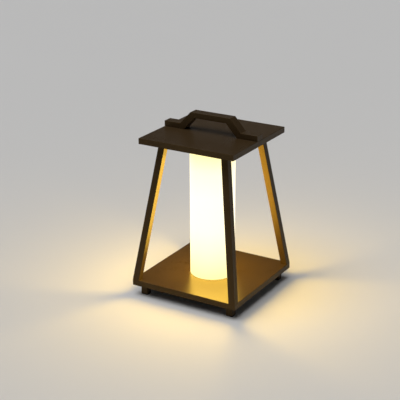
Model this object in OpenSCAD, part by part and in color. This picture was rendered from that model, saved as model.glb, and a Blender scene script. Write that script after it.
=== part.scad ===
/* [Base] */
// Side of the square base tray
base_side = 200; // [180:2:240]
// Height of the tray's folded edge
tray_h = 10; // [10:0.5:14]
// Thickness of the tray's and the lid's sheet metal
sheet_t = 1.6; // [1.2:0.1:1.8]
// Thickness of the plate that closes the tray from below
cover_t = 1; // [0.8:0.1:1]
// Height of the feet, from the floor to the tray
foot_h = 19; // [18:0.5:30]
// Side of a square foot
foot_w = 12; // [11:0.5:18]
// Distance from the tray's side to a foot
foot_inset = 10.4; // [9:0.2:16]
// Thickness of the rubber pad under a foot
pad_t = 1.5; // [1:0.25:3]

/* [Posts and lid] */
// Clear height between the tray and the lid
lantern_h = 242; // [200:2:300]
// Side of a post's square section, measured level
post_w = 12; // [11:0.5:16]
// Side of the square lid
lid_side = 178; // [168:2:200]
// Height of the lid's folded edge
lid_h = 10; // [8:0.5:14]
// Thickness of the plate inside the lid that the posts are screwed to
lid_plate_t = 2; // [1.5:0.5:3]
// How far the lid reaches past the posts
lid_overhang = 24.4; // [18:0.2:30]

/* [Handle] */
// Width of the handle's bar
handle_w = 18; // [14:1:26]
// Thickness of the handle at its feet and its grip
handle_t = 9.5; // [8:0.5:12]
// Thickness of the handle's sloping legs
leg_t = 12; // [8:0.5:14]
// Height of the grip's top above the lid
handle_rise = 31.6; // [28:0.2:45]
// Length of the grip's flat top
grip_len = 76; // [60:1:90]
// Length of each handle foot along the lid
handle_foot = 31; // [24:1:32]

/* [Light] */
// Outer diameter of the opal tube
tube_d = 77; // [68:1:90]
// Wall of the opal tube
tube_wall = 2.5; // [2:0.25:3.5]
// Thickness of the holders' floors
holder_floor = 4; // [3:0.5:6]
// How far the holders' rims reach into the opal tube
holder_rim_h = 12; // [9:0.5:14]
// Wall of the holders' rims
holder_rim_t = 4; // [3.5:0.25:5]
// Section of the sealing rings
seal_d = 2; // [1.6:0.1:2.4]
// Side of the square column that carries the LED boards
column_w = 20; // [18:0.5:24]
// Wall of the column
column_wall = 2; // [1.5:0.25:3]
// Width of an LED board
led_board_w = 14; // [10:0.5:16]
// Thickness of an LED board
led_board_t = 1.6; // [1:0.2:2]
// Length of the column left bare at each end
led_margin = 12; // [10:0.5:20]
// Number of LEDs on each board
led_count = 12; // [4:1:20]
// Width, depth and height of an LED
led_size = [3.5, 0.8, 2.8];

/* [Battery] */
// Diameter of a battery cell
cell_d = 18.4; // [14:0.2:18.6]
// Length of a battery cell with its button end
cell_len = 65; // [50:1:70]
// Outer side of the square battery pan
pan_side = 100; // [96:1:108]
// Thickness of the pan's sheet
pan_t = 1.5; // [1:0.1:1.6]
// Width of the pan's screwed rim
pan_rim = 8; // [7:0.5:10]
// Thickness of the battery holder's floor
cradle_floor = 1; // [0.8:0.1:1.2]
// Thickness of the battery holder's walls
cradle_wall = 2; // [1.5:0.25:3]
// Thickness of the contact plates
contact_t = 0.4; // [0.3:0.1:0.6]

/* [Electronics] */
// Length of the control board along the tray's back edge
board_len = 72; // [66:1:90]
// Depth of the control board
board_depth = 28; // [26:1:32]
// Thickness of the control board
board_t = 1; // [0.8:0.1:1]
// Distance from the tray's back face to the board's edge
board_inset = 5.4; // [5.2:0.1:6]
// Distance from the middle to the charging port
port_x = 20; // [18:0.5:22]
// Width of the charging port's slot in the tray
port_w = 12.8; // [12:0.2:14]
// Height of the charging port's slot
port_h = 6; // [5.4:0.1:6.2]
// Distance from the middle to the power button
button_x = 20; // [14:0.5:22]
// Width of the power button
button_w = 12; // [9:0.5:16]
// Height of the power button
button_h = 5.2; // [4:0.1:5.4]
// Travel of the power button
button_travel = 1; // [0.4:0.1:1.2]
// How far the power button stands out of the tray
button_proud = 1.5; // [1.4:0.1:3]
// Diameter of the inner leads
lead_d = 1.4; // [1:0.1:1.6]

/* [Fasteners] */
// Shank diameter of the screws in the posts, the feet and the handle
frame_screw_d = 4; // [3:0.5:4.5]
// Shank diameter of the screws in the tube holders and the pan
small_screw_d = 3; // [2.5:0.5:3.5]
// Shank diameter of the screws in the electronics
tiny_screw_d = 2.5; // [2:0.1:2.5]

/* [Hidden] */
$fn = 48;

// Finishes as the lamp shows them
metal = "#2b231e";
under_metal = "#241e1a";
rubber = "#1b1a19";
opal = "#fff4d6";
steel = "#b8b9bb";
aluminium = "#c9cbcd";
white_plastic = "#ece9e2";
black_plastic = "#1d1d1f";
board_green = "#1f5a35";
board_white = "#f2f1ec";
led_yellow = "#f6d56a";
cell_blue = "#2f6f9f";

// Clearances
seat = 0.3;
screw_play = 0.1;
slide_play = 0.25;
flap_play = 0.1;
head_play = 0.5;
bore_spare = 1;
reach = 1;

// Heights, from the floor up
tray_top = foot_h + tray_h;
tray_under = tray_top - sheet_t;
cover_top = foot_h + cover_t;
lid_bottom = tray_top + lantern_h;
lid_top = lid_bottom + lid_h;
lid_under = lid_top - sheet_t;
lid_plate_top = lid_bottom + lid_plate_t;
port_z = (cover_top + tray_under) / 2;

// Half widths
base_half = base_side / 2;
lid_half = lid_side / 2;
post_top_half = lid_half - lid_overhang;
tray_inside = base_half - sheet_t;
foot_at = base_half - foot_inset - foot_w / 2;
post_base_at = base_half - post_w / 2;
post_top_at = post_top_half - post_w / 2;

// Screws: head diameter and head height follow the shank
frame_head_d = 1.75 * frame_screw_d;
frame_head_h = 0.65 * frame_screw_d;
flat_head_h = (frame_head_d - frame_screw_d) / 2;
small_head_d = 1.8 * small_screw_d;
small_head_h = 0.6 * small_screw_d;
tiny_head_d = 1.8 * tiny_screw_d;
tiny_head_h = 0.36 * tiny_screw_d;
hex_share = 0.6;
post_screw_len = 12;
foot_screw_grip = 4;
foot_boss_d = 2.2 * frame_screw_d;
foot_recess_h = 7;
handle_screw_bite = 6;
handle_screw_edge = 8;
board_screw_bite = 3;
board_screw_len = board_t + board_screw_bite;
board_screw_edge = 3;
board_boss_d = 2 * tiny_screw_d;
led_screw_edge = 5;

// Handle outline: the legs slope at one angle
bend_x = lid_half - handle_foot;
grip_half = grip_len / 2;
leg_angle = atan2(handle_rise - handle_t, bend_x - grip_half);
leg_level = leg_t / sin(leg_angle);
function leg_outer_x(z) = bend_x - (z - handle_t) / tan(leg_angle);
inner_foot_x = leg_outer_x(0) - leg_level;
inner_grip_x = leg_outer_x(handle_rise - handle_t) - leg_level;
handle_screw_x = [bend_x + handle_screw_edge, lid_half - handle_screw_edge];

// Tube, holders and column
tube_inner_r = tube_d / 2 - tube_wall;
rim_r = tube_inner_r - slide_play;
holder_skin = 0.6;
collar_t = 3;
collar_h = 6;
holder_screw_r = rim_r - holder_rim_t - small_head_d;
column_z = tray_top + holder_floor;
column_h = lantern_h - 2 * holder_floor - seat;
led_board_z = column_z + led_margin;
led_board_h = column_h - 2 * led_margin;
led_y = column_w / 2 + led_board_t / 2;
lead_gap = 2;
lead_hole_play = 1.5;
lead_hole_d = 2 * (lead_gap + lead_d / 2 + lead_hole_play);

// Battery, under the tray: its cradle lies against the front wall of the pan
cell_top = tray_under - small_head_h - head_play;
cell_z = cell_top - cell_d / 2;
cell_lift = 0.2;
cradle_z = cell_top - cell_d - cell_lift - cradle_floor;
pan_z = cradle_z - pan_t;
pan_inside = pan_side / 2 - pan_t;
cell_pitch = cell_d + 1;
pair_half_y = cell_pitch / 2 + cell_d / 2 + seat;
cradle_y = -(pan_inside - seat - cradle_wall - pair_half_y);
cell_y = [cradle_y - cell_pitch / 2, cradle_y + cell_pitch / 2];
cradle_end = cell_len / 2 + contact_t + seat;
cradle_step = 2;
contact_half = 6;
contact_tab_w = 4;
button_end_d = 6;
button_end_h = 0.8;
pan_screw_at = pan_side / 2 + pan_rim / 2;
nut_h = 1.6;
pan_screw_len = cover_t + pan_t + nut_h;

// Control board: its parts stand on top of it, facing the tray's back
socket_w = 8.94;
socket_h = 3.2;
socket_len = 7.3;
socket_wall = 0.3;
socket_back = 1;
tongue_w = 6.7;
tongue_h = 0.7;
tongue_len = 5;
board_edge = base_half - board_inset;
board_front = board_edge - board_depth;
board_top = port_z - socket_h / 2;
switch_size = [6, 3.5, 3.2];
plunger_w = 2.4;
plunger_h = 1.4;
button_flange = 0.6;
button_flange_t = 1.2;
button_front = base_half + button_proud;
button_back = tray_inside - flap_play - button_flange_t;
plunger_in = 1;
lead_socket_size = [6, 5, 3.6];
lead_socket_x = 14;
lead_z = board_top + lead_socket_size[2] / 2;
contact_tab_top = lead_z + lead_d / 2 + screw_play;
chip_size = [6, 6, 1];
chip_back = 12;
inductor_d = 6;
inductor_h = 3;
inductor_x = 12;
inductor_back = 15;

// Charging port flap: a thin rubber plate that bends beside the port
flap_t = 1.4;
flap_border_x = 2.2;
flap_border_z = 1.1;
flap_w = port_w + 2 * flap_border_x;
flap_h = port_h + 2 * flap_border_z;
flap_lip = 0.8;
lip_play_x = 0.6;
hinge_x = port_x - flap_w / 2;
hinge_y = base_half + flap_play + flap_t / 2;
strap_len = 5.5;
strap_h = 5;
strap_end = hinge_x - flap_t / 2 - seat;
strap_peg_x = strap_end - strap_len / 2;
peg_d = 2.4;
peg_head_d = 4;
peg_head_t = 0.8;

// Lead routes: corner points, from the control board to the battery and to the light
lead_pin = 1;
lead_bend = 2.5;
lead_out = [6, 7.5];
lane_slant = 34;
light_lane_run = 14;
lane_near = -(cradle_end + cradle_wall + 2 * lead_d);
lane_far = lane_near - 2 * lead_d;
lane_start = board_front - lane_slant;
contact_face = -cell_len / 2 - contact_t;
light_lane_start = led_y + light_lane_run;
battery_lead_far = [
    [-lead_socket_x - lead_pin, board_front, lead_z],
    [-lead_socket_x - lead_pin, board_front - lead_out[0], lead_z],
    [lane_far, lane_start, lead_z], [lane_far, cell_y[0], lead_z], [contact_face, cell_y[0], lead_z]
];
battery_lead_near = [
    [-lead_socket_x + lead_pin, board_front, lead_z],
    [-lead_socket_x + lead_pin, board_front - lead_out[1], lead_z],
    [lane_near, lane_start, lead_z], [lane_near, cell_y[1], lead_z], [contact_face, cell_y[1], lead_z]
];
function light_lead(side) = [
    [lead_socket_x + side * lead_pin, board_front, lead_z],
    [lead_socket_x + side * lead_pin, board_front - lead_out[1], lead_z],
    [side * lead_gap, light_lane_start, lead_z], [side * lead_gap, led_y, lead_z],
    [side * lead_gap, led_y, led_board_z]
];

// A round lead along its route, with softened corners: rings of 8 points, square to the route
lead_sides = 8;
lead_reference = [1, 1, 1];
function unit(v) = v / norm(v);
function softened(p) = [
    p[0],
    for (i = [1:len(p) - 2])
        let (a = p[i] + lead_bend * unit(p[i - 1] - p[i]), b = p[i] + lead_bend * unit(p[i + 1] - p[i]))
            each [a, (a + 2 * p[i] + b) / 4, b],
    p[len(p) - 1]
];
function heading(p, i) =
    i == 0 ? unit(p[1] - p[0]) :
    i == len(p) - 1 ? unit(p[i] - p[i - 1]) :
    unit(unit(p[i + 1] - p[i]) + unit(p[i] - p[i - 1]));
function ring(p, i) =
    let (t = heading(p, i), u = unit(cross(t, lead_reference)), v = cross(t, u))
    [for (k = [0:lead_sides - 1])
        p[i] + lead_d / 2 * (cos(360 * k / lead_sides) * u + sin(360 * k / lead_sides) * v)];
function ring_faces(a, b, c, d) = [[a, d, b], [a, c, d]];
function lead_wall(rings) = [
    for (i = [0:rings - 2], k = [0:lead_sides - 1])
        each ring_faces(
            i * lead_sides + k, i * lead_sides + (k + 1) % lead_sides,
            (i + 1) * lead_sides + k, (i + 1) * lead_sides + (k + 1) % lead_sides)
];
module lead(corner_points) {
    route = softened(corner_points);
    count = len(route);
    last = (count - 1) * lead_sides;
    polyhedron(
        points = [for (i = [0:count - 1]) each ring(route, i)],
        faces = concat(
            [[for (k = [0:lead_sides - 1]) k]],
            [[for (k = [lead_sides - 1:-1:0]) last + k]],
            lead_wall(count)));
}

// Shared shapes
module corners(at) {
    for (sx = [-1, 1], sy = [-1, 1]) translate([sx * at, sy * at, 0]) children();
}

module quarter(sx, sy) {
    mirror([sx < 0 ? 1 : 0, 0, 0]) mirror([0, sy < 0 ? 1 : 0, 0]) children();
}

module slab(side, z, h) {
    translate([-side / 2, -side / 2, z]) cube([side, side, h]);
}

// A screw that points up, its head's top at height 0
module screw(d, len, head_d, head_h) {
    difference() {
        union() {
            cylinder(d = d, h = len);
            translate([0, 0, -head_h]) cylinder(d = head_d, h = head_h);
        }
        translate([0, 0, -head_h - reach])
            cylinder(d = hex_share * d, h = reach + hex_share * head_h, $fn = 6);
    }
}

// A screw that points down, its head's underside at height 0
module screw_down(d, len, head_d, head_h) {
    mirror([0, 0, 1]) screw(d, len, head_d, head_h);
}

// A countersunk screw that points up, its flat head level with height 0
module flat_screw(d, len, head_d, head_h) {
    difference() {
        union() {
            cylinder(d = d, h = len);
            cylinder(d1 = head_d, d2 = d, h = head_h);
        }
        translate([0, 0, -reach])
            cylinder(d = hex_share * d, h = reach + hex_share * head_h, $fn = 6);
    }
}

// The room for that head in a plate, widened below the plate at the same slope
module countersink(d, head_d, head_h) {
    flare = reach * (head_d - d) / head_h;
    translate([0, 0, -reach])
        cylinder(d1 = head_d + 2 * screw_play + flare, d2 = d + 2 * screw_play, h = head_h + reach);
}

// A flat bar with round ends, lying along X, its depth along +Y
module pill(len, h, depth) {
    translate([-(len - h) / 2, 0, -h / 2]) cube([len - h, depth, h]);
    for (s = [-1, 1])
        translate([s * (len - h) / 2, 0, 0]) rotate([-90, 0, 0]) cylinder(d = h, h = depth);
}

module holder_screw_places() {
    for (turn = [30:120:270]) rotate([0, 0, turn]) translate([holder_screw_r, 0, 0]) children();
}

module board_screw_places() {
    for (x = [-1, 1] * (board_len / 2 - board_screw_edge),
         y = [board_front + board_screw_edge, board_edge - board_screw_edge])
        translate([x, y, 0]) children();
}

module handle_screw_places() {
    for (s = [-1, 1], x = handle_screw_x) translate([s * x, 0, 0]) children();
}

// Base
module base_tray() {
    color(metal) difference() {
        slab(base_side, foot_h, tray_h);
        slab(2 * tray_inside, foot_h - reach, tray_h + reach - sheet_t);
        corners(post_base_at) translate([0, 0, tray_under - reach])
            cylinder(d = frame_screw_d + 2 * screw_play, h = sheet_t + 2 * reach);
        holder_screw_places() translate([0, 0, tray_under - reach])
            cylinder(d = small_screw_d + 2 * screw_play, h = sheet_t + 2 * reach);
        translate([0, led_y, tray_under - reach]) cylinder(d = lead_hole_d, h = sheet_t + 2 * reach);
        translate([port_x, tray_inside - reach, port_z]) pill(port_w, port_h, sheet_t + 2 * reach);
        translate([-button_x, tray_inside - reach, port_z])
            pill(button_w + 2 * slide_play, button_h + 2 * slide_play, sheet_t + 2 * reach);
        translate([strap_peg_x, tray_inside - reach, port_z]) rotate([-90, 0, 0])
            cylinder(d = peg_d + 2 * screw_play, h = sheet_t + 2 * reach);
    }
}

// A boss welded under the tray's top, bored from below for a screw
module boss(z, d, screw_d, bite) {
    difference() {
        translate([0, 0, z]) cylinder(d = d, h = tray_under - z);
        translate([0, 0, z - reach])
            cylinder(d = screw_d + 2 * screw_play, h = bite + bore_spare + reach);
    }
}

module foot_bosses() {
    color(metal) corners(foot_at) boss(cover_top, foot_boss_d, frame_screw_d, foot_screw_grip);
}

module board_bosses() {
    color(metal) board_screw_places() boss(board_top, board_boss_d, tiny_screw_d, board_screw_bite);
}

module bottom_cover() {
    color(under_metal) difference() {
        slab(2 * (tray_inside - seat), foot_h, cover_t);
        slab(2 * pan_inside, foot_h - reach, cover_t + 2 * reach);
        corners(foot_at) translate([0, 0, foot_h - reach])
            cylinder(d = frame_screw_d + 2 * screw_play, h = cover_t + 2 * reach);
        corners(pan_screw_at) translate([0, 0, foot_h - reach])
            cylinder(d = small_screw_d + 2 * screw_play, h = cover_t + 2 * reach);
    }
}

module battery_pan() {
    rim_side = pan_side + 2 * pan_rim;
    color(under_metal) difference() {
        union() {
            slab(pan_side, pan_z, foot_h - pan_z);
            slab(rim_side, foot_h - pan_t, pan_t);
        }
        slab(2 * pan_inside, pan_z + pan_t, foot_h - pan_z);
        corners(pan_screw_at) translate([0, 0, foot_h - pan_t - reach])
            cylinder(d = small_screw_d + 2 * screw_play, h = pan_t + 2 * reach);
    }
}

module pan_nuts() {
    color(steel) corners(pan_screw_at) translate([0, 0, cover_top]) difference() {
        cylinder(d = 2 * small_screw_d, h = nut_h, $fn = 6);
        translate([0, 0, -reach]) cylinder(d = small_screw_d + 2 * screw_play, h = nut_h + 2 * reach);
    }
}

module pan_screws() {
    color(steel) corners(pan_screw_at) translate([0, 0, foot_h - pan_t])
        screw(small_screw_d, pan_screw_len, small_head_d, small_head_h);
}

module foot(sx, sy) {
    block_h = foot_h - pad_t;
    color(metal) translate([sx * foot_at, sy * foot_at, 0]) difference() {
        slab(foot_w, pad_t, block_h);
        translate([0, 0, pad_t - reach])
            cylinder(d = frame_head_d + 2 * head_play, h = foot_recess_h + reach);
        translate([0, 0, pad_t]) cylinder(d = frame_screw_d + 2 * screw_play, h = block_h + reach);
    }
}

module pad(sx, sy) {
    color(rubber) translate([sx * foot_at, sy * foot_at, 0]) slab(foot_w - 2 * seat, 0, pad_t);
}

module foot_screws() {
    head_seat = pad_t + foot_recess_h;
    color(steel) corners(foot_at) translate([0, 0, head_seat])
        screw(frame_screw_d, cover_top + foot_screw_grip - head_seat, frame_head_d, frame_head_h);
}

// Posts: a strip that leans inward, crossed with the same strip turned by a quarter
module post_strip() {
    rotate([90, 0, 0]) linear_extrude(base_side, center = true) polygon([
        [base_half - post_w, tray_top], [base_half, tray_top],
        [post_top_half, lid_bottom], [post_top_half - post_w, lid_bottom]
    ]);
}

module post(sx, sy) {
    bore_d = frame_screw_d + 2 * screw_play;
    bore_h = post_screw_len + bore_spare;
    color(metal) quarter(sx, sy) difference() {
        intersection() {
            post_strip();
            mirror([1, -1, 0]) post_strip();
        }
        translate([post_base_at, post_base_at, tray_top - reach]) cylinder(d = bore_d, h = bore_h + reach);
        translate([post_top_at, post_top_at, lid_bottom - bore_h]) cylinder(d = bore_d, h = bore_h + reach);
    }
}

module post_base_screws() {
    color(steel) corners(post_base_at) translate([0, 0, tray_under])
        screw(frame_screw_d, post_screw_len, frame_head_d, frame_head_h);
}

module post_lid_screws() {
    color(steel) corners(post_top_at) translate([0, 0, lid_plate_top])
        screw_down(frame_screw_d, post_screw_len, frame_head_d, frame_head_h);
}

// Lid and handle
module lid() {
    color(metal) difference() {
        slab(lid_side, lid_bottom, lid_h);
        slab(lid_side - 2 * sheet_t, lid_bottom - reach, lid_h + reach - sheet_t);
        handle_screw_places() translate([0, 0, lid_under - reach])
            cylinder(d = frame_screw_d + 2 * screw_play, h = sheet_t + 2 * reach);
    }
}

module lid_plate() {
    color(under_metal) difference() {
        slab(lid_side - 2 * (sheet_t + seat), lid_bottom, lid_plate_t);
        corners(post_top_at) translate([0, 0, lid_bottom - reach])
            cylinder(d = frame_screw_d + 2 * screw_play, h = lid_plate_t + 2 * reach);
        handle_screw_places() translate([0, 0, lid_bottom - reach])
            cylinder(d = frame_screw_d + 2 * screw_play, h = lid_plate_t + 2 * reach);
        handle_screw_places() translate([0, 0, lid_bottom])
            countersink(frame_screw_d, frame_head_d, flat_head_h);
        holder_screw_places() translate([0, 0, lid_bottom - reach])
            cylinder(d = small_screw_d + 2 * screw_play, h = lid_plate_t + 2 * reach);
    }
}

module lid_spacers() {
    spacer_h = lid_under - lid_plate_top;
    color(aluminium) handle_screw_places() translate([0, 0, lid_plate_top]) difference() {
        cylinder(d = 2 * frame_screw_d, h = spacer_h);
        translate([0, 0, -reach]) cylinder(d = frame_screw_d + 2 * screw_play, h = spacer_h + 2 * reach);
    }
}

module handle() {
    color(metal) difference() {
        translate([0, 0, lid_top]) rotate([90, 0, 0]) linear_extrude(handle_w, center = true) polygon([
            [lid_half, 0], [lid_half, handle_t], [bend_x, handle_t], [grip_half, handle_rise],
            [-grip_half, handle_rise], [-bend_x, handle_t], [-lid_half, handle_t], [-lid_half, 0],
            [-inner_foot_x, 0], [-inner_grip_x, handle_rise - handle_t],
            [inner_grip_x, handle_rise - handle_t], [inner_foot_x, 0]
        ]);
        handle_screw_places() translate([0, 0, lid_top - reach])
            cylinder(d = frame_screw_d + 2 * screw_play, h = handle_screw_bite + bore_spare + reach);
    }
}

module handle_screws() {
    color(steel) handle_screw_places() translate([0, 0, lid_bottom])
        flat_screw(frame_screw_d, lid_h + handle_screw_bite, frame_head_d, flat_head_h);
}

// Light
module opal_tube() {
    color(opal) translate([0, 0, tray_top]) difference() {
        cylinder(d = tube_d, h = lantern_h - seat);
        translate([0, 0, -reach]) cylinder(r = tube_inner_r, h = lantern_h + 2 * reach);
    }
}

// A holder that stands on height 0: floor, rim with a groove, and a collar for the column
module holder() {
    groove_r = tube_inner_r - seal_d - slide_play;
    groove_h = seal_d + 2 * slide_play;
    collar_side = column_w + 2 * (slide_play + collar_t);
    color(white_plastic) difference() {
        union() {
            difference() {
                cylinder(r = rim_r, h = holder_rim_h);
                translate([0, 0, holder_floor])
                    cylinder(r = rim_r - holder_rim_t, h = holder_rim_h);
            }
            slab(collar_side, 0, holder_floor + collar_h);
        }
        slab(column_w + 2 * slide_play, holder_floor, collar_h + reach);
        translate([0, led_y, -reach])
            cylinder(d = lead_hole_d, h = holder_floor + collar_h + 2 * reach);
        translate([0, 0, (holder_rim_h + holder_floor - groove_h) / 2]) difference() {
            cylinder(r = rim_r + reach, h = groove_h);
            translate([0, 0, -reach]) cylinder(r = groove_r, h = groove_h + 2 * reach);
        }
        holder_screw_places() translate([0, 0, -reach])
            cylinder(d = small_screw_d + 2 * screw_play, h = holder_floor + reach - holder_skin);
    }
}

// The ring that seals a holder in the tube
module seal() {
    color(rubber) translate([0, 0, (holder_rim_h + holder_floor) / 2])
        rotate_extrude() translate([tube_inner_r - seal_d / 2 - screw_play, 0])
            circle(d = seal_d);
}

module lower_holder() {
    translate([0, 0, tray_top]) holder();
}

module upper_holder() {
    translate([0, 0, lid_bottom]) mirror([0, 0, 1]) holder();
}

module lower_seal() {
    translate([0, 0, tray_top]) seal();
}

module upper_seal() {
    translate([0, 0, lid_bottom]) mirror([0, 0, 1]) seal();
}

module lower_holder_screws() {
    color(steel) holder_screw_places() translate([0, 0, tray_under])
        screw(small_screw_d, sheet_t + holder_floor - bore_spare, small_head_d, small_head_h);
}

module upper_holder_screws() {
    color(steel) holder_screw_places() translate([0, 0, lid_plate_top])
        screw_down(small_screw_d, lid_plate_t + holder_floor - bore_spare, small_head_d, small_head_h);
}

module led_screw_places() {
    for (turn = [0:90:270], z = [led_board_z + led_screw_edge, led_board_z + led_board_h - led_screw_edge])
        rotate([0, 0, turn]) translate([0, -column_w / 2, z]) rotate([-90, 0, 0]) children();
}

module led_column() {
    color(aluminium) difference() {
        slab(column_w, column_z, column_h);
        slab(column_w - 2 * column_wall, column_z - reach, column_h + 2 * reach);
        led_screw_places() translate([0, 0, -reach])
            cylinder(d = tiny_screw_d + 2 * screw_play, h = column_wall + 2 * reach);
    }
}

module led_board(turn) {
    color(board_white) rotate([0, 0, turn]) difference() {
        translate([-led_board_w / 2, -column_w / 2 - led_board_t, led_board_z])
            cube([led_board_w, led_board_t, led_board_h]);
        for (z = [led_board_z + led_screw_edge, led_board_z + led_board_h - led_screw_edge])
            translate([0, -column_w / 2 + reach, z]) rotate([90, 0, 0])
                cylinder(d = tiny_screw_d + 2 * screw_play, h = led_board_t + 2 * reach);
    }
}

module led_board_screws() {
    color(steel) led_screw_places() translate([0, 0, -led_board_t])
        screw(tiny_screw_d, led_board_t + column_wall, tiny_head_d, tiny_head_h);
}

module led_chips() {
    first = led_board_z + 2 * led_screw_edge + led_size[2];
    pitch = (led_board_h - 2 * (2 * led_screw_edge + led_size[2])) / (led_count - 1);
    color(led_yellow) for (turn = [0:90:270], i = [0:led_count - 1])
        rotate([0, 0, turn])
            translate([
                -led_size[0] / 2, -column_w / 2 - led_board_t - led_size[1],
                first + i * pitch - led_size[2] / 2
            ]) cube(led_size);
}

// Battery
module battery_cradle() {
    half_x = cradle_end + cradle_wall;
    half_y = pair_half_y + cradle_wall;
    color(black_plastic) translate([0, cradle_y, cradle_z]) {
        translate([-half_x, -half_y, 0]) cube([2 * half_x, 2 * half_y, cradle_floor]);
        for (s = [-1, 1]) {
            translate([s * (cradle_end + cradle_wall / 2) - cradle_wall / 2, -half_y, 0])
                cube([cradle_wall, 2 * half_y, cradle_floor + cell_lift + cell_d / 2 + cradle_step]);
            translate([-half_x, s * (pair_half_y + cradle_wall / 2) - cradle_wall / 2, 0])
                cube([2 * half_x, cradle_wall, cradle_floor + cell_lift + cell_d / 2 - cradle_step]);
        }
    }
}

// A cell that lies along X, its button end towards +X
module cell() {
    color(cell_blue) translate([-cell_len / 2, 0, 0]) rotate([0, 90, 0]) {
        cylinder(d = cell_d, h = cell_len - button_end_h);
        cylinder(d = button_end_d, h = cell_len);
    }
}

module cell_front() {
    translate([0, cell_y[0], cell_z]) cell();
}

module cell_back() {
    translate([0, cell_y[1], cell_z]) mirror([1, 0, 0]) cell();
}

module cell_contacts() {
    color(steel) {
        translate([cell_len / 2, cell_y[0] - contact_half, cell_z - contact_half])
            cube([contact_t, cell_pitch + 2 * contact_half, 2 * contact_half]);
        for (y = cell_y) translate([-cell_len / 2 - contact_t, y, 0]) {
            translate([0, -contact_half, cell_z - contact_half])
                cube([contact_t, 2 * contact_half, 2 * contact_half]);
            translate([0, -contact_tab_w / 2, cell_z])
                cube([contact_t, contact_tab_w, contact_tab_top - cell_z]);
        }
    }
}

module battery_leads() {
    color("firebrick") {
        lead(battery_lead_far);
        lead(battery_lead_near);
    }
}

module led_leads() {
    color("firebrick") {
        lead(light_lead(-1));
        lead(light_lead(1));
    }
}

// Electronics
module control_board() {
    color(board_green) difference() {
        translate([-board_len / 2, board_front, board_top - board_t])
            cube([board_len, board_depth, board_t]);
        board_screw_places() translate([0, 0, board_top - board_t - reach])
            cylinder(d = tiny_screw_d + 2 * screw_play, h = board_t + 2 * reach);
    }
}

module board_screws() {
    color(steel) board_screw_places() translate([0, 0, board_top - board_t])
        screw(tiny_screw_d, board_screw_len, tiny_head_d, tiny_head_h);
}

module charging_socket() {
    inside_w = socket_w - 2 * socket_wall;
    inside_h = socket_h - 2 * socket_wall;
    color(steel) translate([port_x, board_edge - socket_len, port_z]) difference() {
        pill(socket_w, socket_h, socket_len);
        translate([0, socket_back, 0]) pill(inside_w, inside_h, socket_len);
    }
}

module socket_tongue() {
    color(black_plastic)
        translate([port_x - tongue_w / 2, board_edge - socket_len + socket_back, port_z - tongue_h / 2])
            cube([tongue_w, tongue_len, tongue_h]);
}

module switch_body() {
    pocket_w = plunger_w + 2 * slide_play;
    pocket_h = plunger_h + 2 * slide_play;
    pocket_deep = plunger_in + button_travel + slide_play;
    color(black_plastic) translate([-button_x, board_edge, port_z]) difference() {
        translate([-switch_size[0] / 2, -switch_size[1], -switch_size[2] / 2]) cube(switch_size);
        translate([-pocket_w / 2, -pocket_deep, -pocket_h / 2])
            cube([pocket_w, pocket_deep + reach, pocket_h]);
    }
}

module switch_plunger() {
    color(white_plastic)
        translate([-button_x - plunger_w / 2, board_edge - plunger_in, port_z - plunger_h / 2])
            cube([plunger_w, button_back - board_edge + plunger_in, plunger_h]);
}

module power_button() {
    color(rubber) translate([-button_x, button_back, port_z]) {
        pill(button_w, button_h, button_front - button_back);
        pill(button_w + 2 * button_flange + 2 * slide_play, button_h + 2 * button_flange, button_flange_t);
    }
}

module control_chip() {
    color(black_plastic) translate([-chip_size[0] / 2, board_front + chip_back, board_top]) cube(chip_size);
}

module power_inductor() {
    color("dimgray") translate([inductor_x, board_front + inductor_back, board_top])
        cylinder(d = inductor_d, h = inductor_h);
}

module lead_sockets() {
    color(white_plastic) for (s = [-1, 1])
        translate([s * lead_socket_x - lead_socket_size[0] / 2, board_front, board_top])
            cube(lead_socket_size);
}

module port_flap() {
    color(rubber) translate([hinge_x, hinge_y, port_z]) {
        translate([0, 0, -flap_h / 2]) cylinder(d = flap_t, h = flap_h);
        translate([0, -flap_t / 2, -flap_h / 2]) cube([flap_w, flap_t, flap_h]);
        translate([flap_w / 2, -flap_t / 2 - flap_play - flap_lip, 0])
            pill(port_w - 2 * lip_play_x, port_h - 2 * seat, flap_lip + flap_play + flap_t / 2);
    }
}

module flap_strap() {
    color(rubber) {
        translate([strap_end - strap_len, base_half, port_z - strap_h / 2])
            cube([strap_len, flap_t, strap_h]);
        translate([strap_peg_x, tray_inside - peg_head_t, port_z]) rotate([-90, 0, 0]) {
            cylinder(d = peg_d, h = sheet_t + peg_head_t + flap_t / 2);
            cylinder(d = peg_head_d, h = peg_head_t);
        }
    }
}

base_tray();
foot_bosses();
board_bosses();
bottom_cover();
battery_pan();
pan_nuts();
pan_screws();
foot(-1, -1);  // foot_front_left
foot(1, -1);  // foot_front_right
foot(-1, 1);  // foot_back_left
foot(1, 1);  // foot_back_right
pad(-1, -1);  // pad_front_left
pad(1, -1);  // pad_front_right
pad(-1, 1);  // pad_back_left
pad(1, 1);  // pad_back_right
foot_screws();
post(-1, -1);  // post_front_left
post(1, -1);  // post_front_right
post(-1, 1);  // post_back_left
post(1, 1);  // post_back_right
post_base_screws();
post_lid_screws();
lid();
lid_plate();
lid_spacers();
handle();
handle_screws();
opal_tube();
lower_holder();
upper_holder();
lower_seal();
upper_seal();
lower_holder_screws();
upper_holder_screws();
led_column();
led_board(0);  // led_board_front
led_board(90);  // led_board_right
led_board(180);  // led_board_back
led_board(270);  // led_board_left
led_chips();
led_board_screws();
battery_cradle();
cell_front();
cell_back();
cell_contacts();
battery_leads();
led_leads();
control_board();
board_screws();
charging_socket();
socket_tongue();
switch_body();
switch_plunger();
control_chip();
power_inductor();
lead_sockets();
power_button();
port_flap();
flap_strap();
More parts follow.
